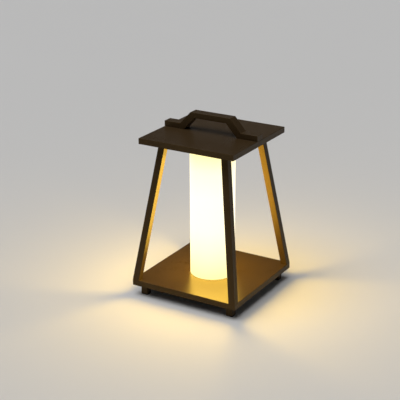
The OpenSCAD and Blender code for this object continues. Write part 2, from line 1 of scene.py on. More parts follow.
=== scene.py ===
"""Looks for a portable lantern lamp: a square tray on four feet, four leaning posts, a square lid
with a bent bar handle, and an opal light tube between tray and lid.

Sizes are in millimetres where a function builds a piece, and in metres in the finished mesh.
"""

import math

import bpy
from mathutils import Matrix, Vector


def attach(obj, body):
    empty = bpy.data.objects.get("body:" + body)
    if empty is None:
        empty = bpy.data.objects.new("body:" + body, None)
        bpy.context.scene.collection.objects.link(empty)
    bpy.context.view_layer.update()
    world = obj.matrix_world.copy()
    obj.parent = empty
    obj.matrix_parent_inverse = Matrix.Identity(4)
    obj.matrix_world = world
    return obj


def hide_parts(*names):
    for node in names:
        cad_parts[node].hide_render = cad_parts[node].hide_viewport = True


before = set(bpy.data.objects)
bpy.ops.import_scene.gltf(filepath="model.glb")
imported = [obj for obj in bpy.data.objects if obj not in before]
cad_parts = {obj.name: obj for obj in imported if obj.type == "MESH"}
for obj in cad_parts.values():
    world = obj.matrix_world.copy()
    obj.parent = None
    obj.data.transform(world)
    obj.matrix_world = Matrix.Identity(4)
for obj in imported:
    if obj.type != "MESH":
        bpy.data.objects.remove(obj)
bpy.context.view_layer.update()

MM = 0.001

# Sizes of the pieces in millimetres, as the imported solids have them
BASE_HALF = 100
TRAY_LOW = 19
TRAY_TOP = 29
SHEET = 1.6
LID_HALF = 89
LID_LOW = 271
LID_TOP = 281
POST = 12
POST_TOP_HALF = 64.6
FOOT = 12
FOOT_AT = 83.6
PAD = 11.4
PAD_TOP = 1.5
TREAD_EDGE = 1.6
TREAD_DEPTH = 0.7
TUBE_R = 38.5
TUBE_WALL = 2.5
TUBE_TOP = 270.7
HANDLE_HALF_WIDTH = 9
HANDLE_BAR = 9.5
HANDLE_RISE = 31.6
BEND_X = 58
GRIP_X = 38
INNER_FOOT_X = 50.41
PAN_HALF = 58
PAN_RIM = 8
PAN_RIM_LOW = 17.5
PAN_LOW = 4
PAN_WALL = 1.5

# Holes for screws and leads: their diameters, and where they are
SCREW_HOLE = 4.2
SMALL_HOLE = 3.2
BORE_SIDES = 24
HANDLE_SCREWS = (-81, -66, 66, 81)
HANDLE_BORE = 7
POST_SCREW_BASE = 94
POST_SCREW_TOP = 58.6
POST_BORE = 13
HOLDER_SCREW_R = 26.35
HOLDER_SCREW_TURNS = (30, 150, 270)
PAN_SCREW_AT = 54
FOOT_RECESS = 8
FOOT_RECESS_TOP = 8.5
LEAD_HOLE = 8.4
LEAD_HOLE_Y = 10.8

# Planes that part a sheet between its holes
TRAY_SEAMS_X = (-88, -40, -10.5, 10.5, 40, 88)
TRAY_SEAMS_Y = (-88, -40, 0, 40, 88)
LID_SEAMS_X = (-73.5, -50, 50, 73.5)
LID_SEAMS_Y = (-30, 30)

# The button and the charging port on the tray's back face. A pair is where a shape starts and ends
# when its name has X or Y, and else its width and height. Each step of the peg has Y, radius, length.
OUTER_Y = 101.5
PORT_Z = 23.7
BUTTON_X = -20
BUTTON_HOLE = (12.5, 5.7)
BUTTON_CAP = (12, 5.2)
BUTTON_CAP_Y = 98.2
BUTTON_FLANGE = (13.7, 6.4)
BUTTON_FLANGE_Y = (97.1, 98.3)
DISH_RIM = 0.5
DISH_SLOPE = 0.3
DISH_DEPTH = 0.25
PORT_X = 20
PORT_SLOT = (12.8, 6)
FLAP_X = (11.4, 28.6)
FLAP_Y = 100.1
FLAP_HALF = 4.1
FLAP_LIP = (11.6, 5.4)
FLAP_LIP_Y = (99.2, 100.6)
GROOVE_AT = (26.4, 102.1, PORT_Z)
GROOVE_R = 1.1
GROOVE_LENGTH = 4.4
BEAD_Y = 100.8
BEAD_R = 0.7
STRAP_X = (4.9, 10.4)
STRAP_Y = (100, 101.4)
STRAP_HALF = 2.5
PEG_X = 7.65
PEG_HOLE_R = 1.3
PEG_STEPS = ((99.25, 1.2, 3.3), (98, 2, 0.8))

# Radii of the rounded edges
FOLD_R = 0.6
HEM_R = 0.25
BAR_R = 0.5
TUBE_RIM_R = 0.6
PAN_BEND_R = 1.2
PAN_CORNER_R = 3
RUBBER_R = 0.3
BUTTON_R = 0.4
TAB_CORNER_R = 1.6

# How near to a plane counts as on it, and below which angle faces are shaded as one
NEAR = 0.1
SMOOTH_BELOW = 35

# The light that the tube throws: where each row of panels starts and ends, as parts of the tube's
# height, and its brightness. The panels stand off the tube by a gap in millimetres.
TUBE_ROWS = ((0.0, 0.10, 10.2), (0.10, 0.22, 15.6), (0.22, 0.80, 18.5), (0.80, 1.0, 10.8))
TUBE_PANELS = 16
PANEL_GAP = 0.1
TUBE_LIGHT = (1.0, 0.63, 0.06)

# The tube's own glow, from its foot to its top
TUBE_GLOW = (
    (0.0, (1.0, 0.88, 0.37)),
    (0.14, (1.0, 0.91, 0.52)),
    (0.36, (1.0, 0.95, 0.72)),
    (0.60, (1.0, 0.95, 0.76)),
    (0.78, (1.0, 0.94, 0.68)),
    (1.0, (1.0, 0.86, 0.23)),
)

# The studio, in metres and degrees
FLOOR_R = 14.0
COVE_R = 1.5
COVE_STEPS = 8
WALL_RISE = 1.5
SUN_STRENGTH = 2.25
SUN_SPREAD = 55
SUN_TURN = (16, 0, -30)
WORLD_COLOUR = (1.0, 0.97, 0.93, 1.0)
WORLD_STRENGTH = 0.07

# The camera, in metres and degrees, fitted to the lamp's straight edges in the photograph
SENSOR_WIDTH = 36
LENS = 100.5267
CAMERA_AT = (0.894739, -1.535007, 0.832970)
CAMERA_SWING = 30.9278
CAMERA_TILT = 90 - 20.7235
CAMERA_ROLL = -0.2052


# Modelling

# The turn that lays a rod along Y
ALONG_Y = (math.pi / 2, 0, 0)


def leave_edit():
    if bpy.context.mode != "OBJECT":
        bpy.ops.object.mode_set(mode="OBJECT")


def deselect():
    """Leaves edit mode and selects nothing."""
    leave_edit()
    bpy.ops.object.select_all(action="DESELECT")


def only(piece):
    """Makes a piece the one selected and active object."""
    deselect()
    piece.select_set(True)
    bpy.context.view_layer.objects.active = piece


def settle(piece):
    """Puts a piece's place, turn and size into its mesh."""
    only(piece)
    bpy.ops.object.transform_apply(location=True, rotation=True, scale=True)
    return piece


def block(name, low, high):
    """A cube between two corners."""
    deselect()
    low = Vector(low) * MM
    high = Vector(high) * MM
    bpy.ops.mesh.primitive_cube_add(size=1, location=(low + high) / 2, scale=high - low)
    piece = bpy.context.active_object
    piece.name = name
    return settle(piece)


def rod(name, at, r, length, turn=(0, 0, 0), sides=48):
    """A cylinder whose middle is at a point, its axis along Z before its turn."""
    deselect()
    bpy.ops.mesh.primitive_cylinder_add(
        vertices=sides, radius=r * MM, depth=length * MM, location=Vector(at) * MM, rotation=turn
    )
    piece = bpy.context.active_object
    piece.name = name
    return settle(piece)


def pick(piece, test, kind="FACE"):
    """Goes into edit mode with the faces or edges selected that pass a test.

    A face is tested by its centre and normal, an edge by its two ends, all in millimetres.
    """
    only(piece)
    bpy.ops.object.mode_set(mode="EDIT")
    bpy.ops.mesh.select_mode(type=kind)
    bpy.ops.mesh.select_all(action="DESELECT")
    bpy.ops.object.mode_set(mode="OBJECT")
    mesh = piece.data
    if kind == "FACE":
        for face in mesh.polygons:
            face.select = test(face.center / MM, face.normal)
    else:
        for edge in mesh.edges:
            a, b = (mesh.vertices[v].co / MM for v in edge.vertices)
            edge.select = test(a, b)
    bpy.ops.object.mode_set(mode="EDIT")


def facing(axis, sign):
    """A test for faces that face along an axis."""

    def test(centre, normal):
        return normal[axis] * sign > 0.99

    return test


def along(axis):
    """A test for edges that run along an axis."""

    def test(a, b):
        step = b - a
        return abs(step[axis]) > 0.999 * step.length

    return test


def move_picked(step):
    bpy.ops.transform.translate(value=Vector(step) * MM)


def extrude_picked(step):
    bpy.ops.mesh.extrude_region_move(TRANSFORM_OT_translate={"value": Vector(step) * MM})


def inset_picked(width):
    bpy.ops.mesh.inset(thickness=width * MM)


def bevel_picked(width, segments):
    bpy.ops.mesh.bevel(offset=width * MM, segments=segments, profile=0.5, affect="EDGES")


def apply_modifier(piece, kind, **settings):
    """Adds a modifier with its settings and applies it."""
    only(piece)
    modifier = piece.modifiers.new(kind.lower(), kind)
    for name, value in settings.items():
        setattr(modifier, name, value)
    bpy.ops.object.modifier_apply(modifier=modifier.name)


def round_edges(piece, r, segments=3, angle=30):
    """Rounds the edges that are sharper than an angle in degrees."""
    limit = math.radians(angle)
    apply_modifier(
        piece, "BEVEL", width=r * MM, segments=segments, limit_method="ANGLE", angle_limit=limit
    )


def face_outwards(piece):
    """Merges doubles and turns the faces outwards."""
    only(piece)
    bpy.ops.object.mode_set(mode="EDIT")
    bpy.ops.mesh.select_all(action="SELECT")
    bpy.ops.mesh.remove_doubles(threshold=0.000002)
    bpy.ops.mesh.normals_make_consistent(inside=False)
    leave_edit()


def divide(piece, axis, places):
    """Cuts faces along planes across an axis, so that each hole gets a face of its own."""
    only(piece)
    bpy.ops.object.mode_set(mode="EDIT")
    across = [1 if i == axis else 0 for i in range(3)]
    for place in places:
        bpy.ops.mesh.select_all(action="SELECT")
        bpy.ops.mesh.bisect(plane_co=[place * MM * a for a in across], plane_no=across)
    leave_edit()


def combine(piece, others, operation):
    """Works other pieces into a piece and removes them."""
    for other in others:
        apply_modifier(piece, "BOOLEAN", object=other, operation=operation, solver="MANIFOLD")
        bpy.data.objects.remove(other)


def cut(piece, cutters):
    combine(piece, cutters, "DIFFERENCE")


def join(piece, parts):
    combine(piece, parts, "UNION")


def bores(places, diameter, low, high):
    """Upright rods for screw holes, one at each place. They run past the faces they pierce."""
    middle = (low + high) / 2
    return [rod("bore", (x, y, middle), diameter / 2, high - low, sides=BORE_SIDES) for x, y in places]


def four_corners(at):
    return [(sx * at, sy * at) for sx in (-1, 1) for sy in (-1, 1)]


def pill(name, x, z, width, height, y_low, y_high, sides=32):
    """A bar with round ends, lying along X: a rod along Y, with one half drawn out sideways."""
    stretch = width - height
    start = x - stretch / 2
    turn = (math.pi / 2, math.pi / sides, 0)
    bar = rod(name, (start, (y_low + y_high) / 2, z), height / 2, y_high - y_low, turn, sides)
    pick(bar, lambda a, b: min(a.x, b.x) > start, "EDGE")
    move_picked((stretch, 0, 0))
    leave_edit()
    return bar


def finish_mesh(piece, edge_width=1.2):
    """Cleans the mesh, shades the piece, and marks its rounded edges for the finish.

    A face that is narrower than the edge width counts as part of a rounded edge.
    """
    face_outwards(piece)
    mesh = piece.data
    rim = mesh.attributes.new("rim", "FLOAT", "FACE")
    for face in mesh.polygons:
        corners = [mesh.vertices[v].co for v in face.vertices]
        longest = max((corners[i] - corners[i - 1]).length for i in range(len(corners)))
        rim.data[face.index].value = 1.0 if face.area / longest < edge_width * MM else 0.0
    bpy.ops.object.shade_smooth_by_angle(angle=math.radians(SMOOTH_BELOW))
    apply_modifier(piece, "WEIGHTED_NORMAL", mode="FACE_AREA", weight=60, keep_sharp=True)
    return piece


def copy_turned(piece, name, degrees):
    """A copy with its own mesh, turned about the lamp's upright axis.

    With no window, the operator turns the other way, so it gets the angle with its sign changed.
    """
    twin = piece.copy()
    twin.data = piece.data.copy()
    twin.name = name
    bpy.context.scene.collection.objects.link(twin)
    only(twin)
    angle = math.radians(-degrees)
    bpy.ops.transform.rotate(value=angle, orient_axis="Z", center_override=(0, 0, 0))
    return settle(twin)


# Pieces


def folded_sheet(name, half, low, top):
    """A square sheet with its four sides folded down: open below, one wall thick."""
    sheet = block(name, (-half, -half, low), (half, half, top))
    pick(sheet, facing(2, -1))
    inset_picked(SHEET)
    extrude_picked((0, 0, top - low - SHEET))
    pick(sheet, lambda a, b: along(2)(a, b) and abs(a.x) > half - NEAR, "EDGE")
    bevel_picked(FOLD_R, segments=4)
    pick(sheet, lambda a, b: min(a.z, b.z) > top - NEAR, "EDGE")
    bevel_picked(FOLD_R, segments=4)
    leave_edit()
    round_edges(sheet, HEM_R, segments=2, angle=60)
    return sheet


def base_tray():
    """The tray, with holes for the post and holder screws, the leads, button, port and peg."""
    tray = folded_sheet("tray_sheet", BASE_HALF, TRAY_LOW, TRAY_TOP)
    divide(tray, 0, TRAY_SEAMS_X)
    divide(tray, 1, TRAY_SEAMS_Y)
    low, high = TRAY_TOP - 3, TRAY_TOP + 2
    turns = [math.radians(a) for a in HOLDER_SCREW_TURNS]
    holder = [(HOLDER_SCREW_R * math.cos(a), HOLDER_SCREW_R * math.sin(a)) for a in turns]
    cutters = bores(four_corners(POST_SCREW_BASE), SCREW_HOLE, low, high)
    cutters += bores(holder, SMALL_HOLE, low, high)
    cutters += bores([(0, LEAD_HOLE_Y)], LEAD_HOLE, low, high)
    inside, outside = BASE_HALF - 3, BASE_HALF + 3
    cutters.append(pill("cut", BUTTON_X, PORT_Z, *BUTTON_HOLE, inside, outside))
    cutters.append(pill("cut", PORT_X, PORT_Z, *PORT_SLOT, inside, outside))
    peg_at = (PEG_X, BASE_HALF, PORT_Z)
    cutters.append(rod("cut", peg_at, PEG_HOLE_R, outside - inside, ALONG_Y, BORE_SIDES))
    cut(tray, cutters)
    return finish_mesh(tray)


def lid():
    """The lid, with holes for the handle's screws."""
    sheet = folded_sheet("lid_sheet", LID_HALF, LID_LOW, LID_TOP)
    divide(sheet, 0, LID_SEAMS_X)
    divide(sheet, 1, LID_SEAMS_Y)
    cut(sheet, bores([(x, 0) for x in HANDLE_SCREWS], SCREW_HOLE, LID_TOP - 4, LID_TOP + 2))
    return finish_mesh(sheet)


def post():
    """The post at the back right: a square bar that leans in along its diagonal."""
    inner = BASE_HALF - POST
    bar = block("post_bar", (inner, inner, TRAY_TOP), (BASE_HALF, BASE_HALF, LID_LOW))
    pick(bar, facing(2, 1))
    lean = POST_TOP_HALF - BASE_HALF
    move_picked((lean, lean, 0))
    pick(bar, lambda a, b: abs(a.z - b.z) > POST, "EDGE")
    bevel_picked(BAR_R, segments=4)
    leave_edit()
    base_at = (POST_SCREW_BASE, POST_SCREW_BASE)
    top_at = (POST_SCREW_TOP, POST_SCREW_TOP)
    cutters = bores([base_at], SCREW_HOLE, TRAY_TOP - 1, TRAY_TOP + POST_BORE)
    cutters += bores([top_at], SCREW_HOLE, LID_LOW - POST_BORE, LID_LOW + 1)
    cut(bar, cutters)
    return finish_mesh(bar)


def handle():
    """A bent flat bar: a foot on the lid, a sloping leg and half the grip, then its mirror image."""
    low = (-LID_HALF, -HANDLE_HALF_WIDTH, LID_TOP)
    high = (-BEND_X, HANDLE_HALF_WIDTH, LID_TOP + HANDLE_BAR)
    bar = block("handle_bar", low, high)
    pick(bar, lambda a, b: along(1)(a, b) and a.x > -BEND_X - NEAR and a.z < LID_TOP + NEAR, "EDGE")
    move_picked((BEND_X - INNER_FOOT_X, 0, 0))
    # The foot's slanted end is drawn up into the leg, and the leg's end into the grip
    pick(bar, lambda centre, normal: centre.x > -BEND_X and normal.x > 0.3 and abs(normal.y) < 0.1)
    extrude_picked((BEND_X - GRIP_X, 0, HANDLE_RISE - HANDLE_BAR))
    extrude_picked((GRIP_X, 0, 0))
    # The grip's end is laid flat on the mirror's plane and opened
    pick(bar, lambda a, b: along(1)(a, b) and a.x > -GRIP_X / 2, "EDGE")
    bpy.ops.transform.resize(value=(0, 1, 1), center_override=(0, 0, 0))
    pick(bar, lambda centre, normal: abs(centre.x) < NEAR and abs(normal.x) > 0.9)
    bpy.ops.mesh.delete(type="FACE")
    leave_edit()
    apply_modifier(bar, "MIRROR", use_axis=(True, False, False), merge_threshold=0.00001)
    face_outwards(bar)
    round_edges(bar, BAR_R, segments=4)
    places = [(x, 0) for x in HANDLE_SCREWS]
    cut(bar, bores(places, SCREW_HOLE, LID_TOP - 1, LID_TOP + HANDLE_BORE))
    return finish_mesh(bar)


def foot():
    """The foot at the back right, with the recess for its screw's head."""
    a, b = FOOT_AT - FOOT / 2, FOOT_AT + FOOT / 2
    bar = block("foot_bar", (a, a, PAD_TOP), (b, b, TRAY_LOW))
    round_edges(bar, BAR_R)
    middle = [(FOOT_AT, FOOT_AT)]
    cutters = bores(middle, FOOT_RECESS, 0, FOOT_RECESS_TOP)
    cutters += bores(middle, SCREW_HOLE, FOOT_RECESS_TOP - 0.5, TRAY_LOW + 1)
    cut(bar, cutters)
    return finish_mesh(bar)


def pad():
    """The rubber pad under that foot, with a shallow tread ring."""
    a, b = FOOT_AT - PAD / 2, FOOT_AT + PAD / 2
    cushion = block("foot_pad", (a, a, 0), (b, b, PAD_TOP))
    pick(cushion, facing(2, -1))
    inset_picked(TREAD_EDGE)
    extrude_picked((0, 0, TREAD_DEPTH))
    leave_edit()
    round_edges(cushion, RUBBER_R)
    return finish_mesh(cushion, edge_width=0.6)


def opal_tube():
    """The light tube: a cylinder bored through by insets that are bridged, its rims rounded."""
    middle = (TRAY_TOP + TUBE_TOP) / 2
    tube = rod("light_tube", (0, 0, middle), TUBE_R, TUBE_TOP - TRAY_TOP, sides=128)
    pick(tube, lambda centre, normal: abs(normal.z) > 0.99)
    inset_picked(TUBE_WALL)
    bpy.ops.mesh.bridge_edge_loops()
    leave_edit()
    round_edges(tube, TUBE_RIM_R, angle=50)
    return finish_mesh(tube, edge_width=0.4)


def battery_pan():
    """A drawn pan: a rim plate, its middle drawn down to a round-edged tray."""
    well = PAN_HALF - PAN_RIM
    pan = block("pan_sheet", (-PAN_HALF, -PAN_HALF, PAN_RIM_LOW), (PAN_HALF, PAN_HALF, TRAY_LOW))
    pick(pan, facing(2, -1))
    inset_picked(PAN_RIM)
    extrude_picked((0, 0, PAN_LOW - PAN_RIM_LOW))
    pick(pan, facing(2, 1))
    inset_picked(PAN_RIM + PAN_WALL)
    extrude_picked((0, 0, PAN_LOW + PAN_WALL - TRAY_LOW))
    pick(pan, lambda a, b: along(2)(a, b) and abs(a.x) < PAN_HALF - NEAR, "EDGE")
    bevel_picked(PAN_BEND_R, segments=3)

    def on_floor(a, b):
        reach = max(abs(a.x), abs(a.y))
        return max(a.z, b.z) < PAN_LOW + NEAR and reach < well + NEAR

    pick(pan, on_floor, "EDGE")
    bevel_picked(PAN_BEND_R, segments=3)
    pick(pan, lambda a, b: along(2)(a, b) and abs(a.x) > PAN_HALF - NEAR, "EDGE")
    bevel_picked(PAN_CORNER_R, segments=4)
    leave_edit()
    cut(pan, bores(four_corners(PAN_SCREW_AT), SMALL_HOLE, TRAY_LOW - 3, TRAY_LOW + 1))
    return finish_mesh(pan)


def power_button():
    """A rubber button: dished face, rounded rim, and the flange that holds it in the tray."""
    cap = pill("button_cap", BUTTON_X, PORT_Z, *BUTTON_CAP, BUTTON_CAP_Y, OUTER_Y)
    pick(cap, lambda a, b: min(a.y, b.y) > OUTER_Y - NEAR, "EDGE")
    bevel_picked(BUTTON_R, segments=4)
    pick(cap, facing(1, 1))
    inset_picked(DISH_RIM)
    extrude_picked((0, -DISH_DEPTH, 0))
    inset_picked(DISH_SLOPE)
    leave_edit()
    join(cap, [pill("button_flange", BUTTON_X, PORT_Z, *BUTTON_FLANGE, *BUTTON_FLANGE_Y)])
    return finish_mesh(cap, edge_width=0.5)


def port_flap():
    """A rubber flap over the charging slot: rounded plate, thumb groove, hinge bead and plug lip."""
    hinge_x, free_x = FLAP_X
    low = (hinge_x, FLAP_Y, PORT_Z - FLAP_HALF)
    high = (free_x, OUTER_Y, PORT_Z + FLAP_HALF)
    flap = block("flap_plate", low, high)
    pick(flap, lambda a, b: along(1)(a, b) and a.x > free_x - NEAR, "EDGE")
    bevel_picked(TAB_CORNER_R, segments=6)
    leave_edit()
    round_edges(flap, RUBBER_R, angle=60)
    cut(flap, [rod("groove", GROOVE_AT, GROOVE_R, GROOVE_LENGTH, sides=32)])
    bead = rod("bead", (hinge_x, BEAD_Y, PORT_Z), BEAD_R, 2 * FLAP_HALF, sides=32)
    lip = pill("lip", PORT_X, PORT_Z, *FLAP_LIP, *FLAP_LIP_Y)
    join(flap, [bead, lip])
    return finish_mesh(flap, edge_width=0.5)


def flap_strap():
    """The short rubber strap that holds the flap, with the peg that fixes it in the tray."""
    low = (STRAP_X[0], STRAP_Y[0], PORT_Z - STRAP_HALF)
    high = (STRAP_X[1], STRAP_Y[1], PORT_Z + STRAP_HALF)
    strap = block("strap_tab", low, high)
    pick(strap, lambda a, b: along(1)(a, b) and a.x < STRAP_X[0] + NEAR, "EDGE")
    bevel_picked(TAB_CORNER_R, segments=6)
    leave_edit()
    round_edges(strap, RUBBER_R, angle=60)
    for y, r, length in PEG_STEPS:
        join(strap, [rod("peg", (PEG_X, y, PORT_Z), r, length, ALONG_Y, sides=32)])
    return finish_mesh(strap, edge_width=0.5)


# Finishes


class Wire:
    """A socket in a finish. Arithmetic on it adds Math nodes, and node() adds any other node."""

    def __init__(self, tree, socket=None):
        self.tree = tree
        self.socket = socket

    def node(self, kind, settings=None, sockets=None, output=0):
        made = self.tree.nodes.new(kind)
        for name, value in (settings or {}).items():
            if name == "stops":
                set_stops(made.color_ramp, value)
            else:
                setattr(made, name, value)
        for name, value in (sockets or {}).items():
            self.feed(made.inputs[name], value)
        return Wire(self.tree, made.outputs[output])

    def feed(self, socket, value):
        if isinstance(value, Wire):
            self.tree.links.new(value.socket, socket)
        else:
            socket.default_value = value

    def maths(self, operation, a, b):
        return self.node("ShaderNodeMath", {"operation": operation}, {0: a, 1: b})

    def __add__(self, other):
        return self.maths("ADD", self, other)

    def __sub__(self, other):
        return self.maths("SUBTRACT", self, other)

    def __rsub__(self, other):
        return self.maths("SUBTRACT", other, self)

    def __mul__(self, other):
        return self.maths("MULTIPLY", self, other)

    __radd__ = __add__
    __rmul__ = __mul__


def set_stops(ramp, stops):
    """Gives a colour ramp its stops: pairs of place and colour."""
    while len(ramp.elements) < len(stops):
        ramp.elements.new(1.0)
    for element, (place, colour) in zip(ramp.elements, stops):
        element.position = place
        element.color = (*colour, 1.0)


def shaded(colour, times):
    """A colour made lighter or darker."""
    return tuple(times * c for c in colour)


def varied(noise, amount):
    """A noise from 0 to 1 as a change by up to half an amount, up or down."""
    return (noise - 0.5) * amount


class Finish:
    """A material in the making: its start, its object coordinates, and its shader's sockets."""

    def __init__(self, name, **constants):
        self.material = bpy.data.materials.new(name)
        self.material.use_nodes = True
        self.start = Wire(self.material.node_tree)
        self.shader = self.material.node_tree.nodes["Principled BSDF"]
        self.where = self.start.node("ShaderNodeTexCoord", output="Object")
        self.set(**constants)

    def set(self, **sockets):
        """Sets or links the shader's sockets: Base_Color=..., Roughness=..."""
        for name, value in sockets.items():
            self.start.feed(self.shader.inputs[name.replace("_", " ")], value)

    def mapped(self, scale):
        """Object coordinates with a scale of their own along X, Y and Z."""
        sockets = {"Vector": self.where, "Scale": scale}
        return self.start.node("ShaderNodeMapping", sockets=sockets)

    def noise(self, scale, detail=2.0, where=None):
        """A cloudy pattern: scale is how often it changes in a metre."""
        sockets = {"Vector": where or self.where, "Scale": scale, "Detail": detail}
        return self.start.node("ShaderNodeTexNoise", sockets=sockets)

    def mask(self, value, low, high):
        """A soft step from 0 at low to 1 at high."""
        return self.start.node(
            "ShaderNodeMapRange",
            {"interpolation_type": "SMOOTHSTEP", "clamp": True},
            {"Value": value, "From Min": low, "From Max": high},
        )

    def mix(self, factor, a, b):
        """Colour a where the factor is 0, colour b where it is 1."""
        a, b = (c if isinstance(c, Wire) else (*c, 1.0) for c in (a, b))
        sockets = {0: factor, 6: a, 7: b}
        return self.start.node("ShaderNodeMix", {"data_type": "RGBA"}, sockets, output=2)

    def bump(self, height, depth, strength):
        """Roughens the surface by a height from 0 to 1, that stands for a depth in metres."""
        sockets = {"Height": height, "Distance": depth, "Strength": strength}
        self.set(Normal=self.start.node("ShaderNodeBump", sockets=sockets))

    def rims(self):
        """1 on a piece's rounded edges, 0 elsewhere."""
        return self.start.node("ShaderNodeAttribute", {"attribute_name": "rim"}, output="Fac")


def powder_coat(name, dark, light, roughness):
    """Satin powder coat on steel: a fine pebbled skin, soft clouding, and rims rubbed smoother and
    made lighter in colour, partly as wear and partly as a painted highlight.
    """
    coat = Finish(
        name,
        Metallic=0.0,
        IOR=1.5,
        Specular_Tint=(1.0, 0.74, 0.27, 1.0),
        Specular_IOR_Level=0.14,
    )
    clouds = coat.noise(16, detail=3.0)
    pebbles = coat.noise(700)
    grain = coat.noise(2400, detail=1.0)
    rims = coat.rims()
    # Where the rims are made lighter in colour: partly a thin, rubbed coat, partly a painted highlight
    # along the edges
    rubbed_and_highlight = coat.mask(coat.noise(60, detail=4.0), low=0.42, high=0.66) * rims
    flecks = coat.mask(grain, low=0.62, high=0.78)
    body = coat.mix(coat.mask(clouds, low=0.3, high=0.7), dark, light)
    body = coat.mix(flecks * 0.35, body, shaded(light, 2.2))
    # Lightens the rims: partly wear, partly a painted highlight
    body = coat.mix(rubbed_and_highlight * 0.5, body, shaded(light, 1.5))
    gloss = roughness + varied(clouds, 0.12) + varied(pebbles, 0.10) - rims * 0.04
    coat.set(Base_Color=body, Roughness=gloss)
    coat.bump(pebbles * 0.7 + grain * 0.3, depth=0.00005, strength=0.5)
    return coat.material


def opal():
    """Opal acrylic, lit from inside: strongest a little above its middle, softer at both ends."""
    glow = Finish("opal acrylic", IOR=1.45, Emission_Strength=1.15)
    height = glow.start.node("ShaderNodeSeparateXYZ", sockets={0: glow.where}, output="Z")
    level = (height - TRAY_TOP * MM) * (1.0 / ((TUBE_TOP - TRAY_TOP) * MM))
    light = glow.start.node("ShaderNodeValToRGB", {"stops": TUBE_GLOW}, {"Fac": level})
    clouds = glow.noise(40)
    skin = glow.mix(clouds, (0.80, 0.62, 0.27), (0.84, 0.67, 0.30))
    glow.set(Base_Color=skin, Emission_Color=light, Roughness=0.32 + varied(clouds, 0.08))
    glow.bump(glow.noise(900, detail=1.0), depth=0.00002, strength=0.3)
    return glow.material


def rubber():
    """Moulded rubber: nearly black, with a fine grain and a little dust."""
    skin = Finish("moulded rubber", IOR=1.5)
    clouds = skin.noise(120, detail=3.0)
    grain = skin.noise(2600)
    dust = skin.mask(skin.noise(420, detail=4.0), low=0.56, high=0.75)
    body = skin.mix(clouds, (0.013, 0.012, 0.011), (0.022, 0.021, 0.019))
    body = skin.mix(dust * 0.25, body, (0.07, 0.065, 0.06))
    skin.set(Base_Color=body, Roughness=0.68 + varied(grain, 0.2))
    skin.bump(grain, depth=0.00004, strength=0.6)
    return skin.material


def bare_metal(name, dark, light, roughness, streak, depth):
    """Bare metal with fine streaks: streak gives their scale along X, Y and Z."""
    metal = Finish(name, Metallic=1.0)
    lines = metal.noise(1.0, detail=3.0, where=metal.mapped(streak))
    spots = metal.mask(metal.noise(300, detail=4.0), low=0.55, high=0.75)
    body = metal.mix(lines, dark, light)
    body = metal.mix(spots * 0.4, body, shaded(dark, 0.7))
    metal.set(Base_Color=body, Roughness=roughness + varied(lines, 0.2) + spots * 0.08)
    metal.bump(lines, depth, strength=0.5)
    return metal.material


def moulded(name, dark, light, roughness):
    """Injection-moulded plastic with a fine spark-eroded texture."""
    shell = Finish(name, IOR=1.46)
    clouds = shell.noise(60, detail=3.0)
    texture = shell.noise(1800)
    body = shell.mix(clouds, dark, light)
    shell.set(Base_Color=body, Roughness=roughness + varied(texture, 0.16))
    shell.bump(texture, depth=0.00003, strength=0.5)
    return shell.material


def circuit(name, mask_colour, track_colour, scale):
    """A circuit board: solder mask over tracks that show as slightly raised bands."""
    board = Finish(name, IOR=1.5)
    tracks = board.start.node(
        "ShaderNodeTexBrick",
        {"offset": 0.37},
        {
            "Vector": board.where,
            "Color1": (0, 0, 0, 1),
            "Color2": (0.25, 0.25, 0.25, 1),
            "Mortar": (1, 1, 1, 1),
            "Scale": scale,
            "Mortar Size": 0.05,
            "Mortar Smooth": 0.2,
            "Brick Width": 0.9,
            "Row Height": 0.35,
        },
    )
    level = board.start.node("ShaderNodeRGBToBW", sockets={0: tracks})
    speckle = board.noise(500, detail=3.0)
    body = board.mix(level, mask_colour, track_colour)
    body = board.mix(speckle * 0.2, body, shaded(mask_colour, 0.8))
    board.set(Base_Color=body, Roughness=0.28 + varied(speckle, 0.1))
    board.bump(level, depth=0.00004, strength=0.6)
    return board.material


def phosphor():
    """Phosphor in a clear cap. It looks lit, and the tube's panels give the light."""
    chip = Finish("led phosphor", Roughness=0.4, Emission_Strength=1.0)
    sockets = {"Vector": chip.where, "Scale": 4000.0}
    grains = chip.start.node("ShaderNodeTexVoronoi", sockets=sockets)
    body = chip.mix(grains, (0.95, 0.62, 0.12), (0.85, 0.5, 0.08))
    chip.set(Base_Color=body, Emission_Color=body)
    chip.bump(grains, depth=0.00002, strength=0.4)
    chip.material.cycles.emission_sampling = "NONE"
    return chip.material


def cell_sleeve():
    """Heat-shrunk sleeve: plain blue, a darker band near one end, and fine shrink ripples."""
    sleeve = Finish("cell sleeve", IOR=1.5)
    along_x = sleeve.start.node("ShaderNodeSeparateXYZ", sockets={0: sleeve.where}, output="X")
    band_start = sleeve.mask(along_x, low=0.0235, high=0.0237)
    band = band_start - sleeve.mask(along_x, low=0.0265, high=0.0267)
    ripples = sleeve.noise(1.0, where=sleeve.mapped((60, 700, 700)))
    body = sleeve.mix(ripples, (0.020, 0.135, 0.31), (0.026, 0.16, 0.35))
    body = sleeve.mix(band, body, (0.012, 0.05, 0.12))
    sleeve.set(Base_Color=body, Roughness=0.26 + varied(ripples, 0.14))
    sleeve.bump(ripples, depth=0.00004, strength=0.5)
    return sleeve.material


def wire_jacket():
    """Red insulation on the inner leads."""
    jacket = Finish("wire insulation", IOR=1.48)
    clouds = jacket.noise(350)
    body = jacket.mix(clouds, (0.32, 0.010, 0.008), (0.40, 0.018, 0.012))
    jacket.set(Base_Color=body, Roughness=0.36 + varied(clouds, 0.2))
    jacket.bump(jacket.noise(3000, detail=1.0), depth=0.00002, strength=0.4)
    return jacket.material


def floor_paint():
    """Matt pale grey, very slightly clouded."""
    paint = Finish("studio floor", Roughness=0.9, Specular_IOR_Level=0.2)
    paint.set(Base_Color=paint.mix(paint.noise(1.5), (0.64, 0.64, 0.64), (0.65, 0.65, 0.65)))
    return paint.material


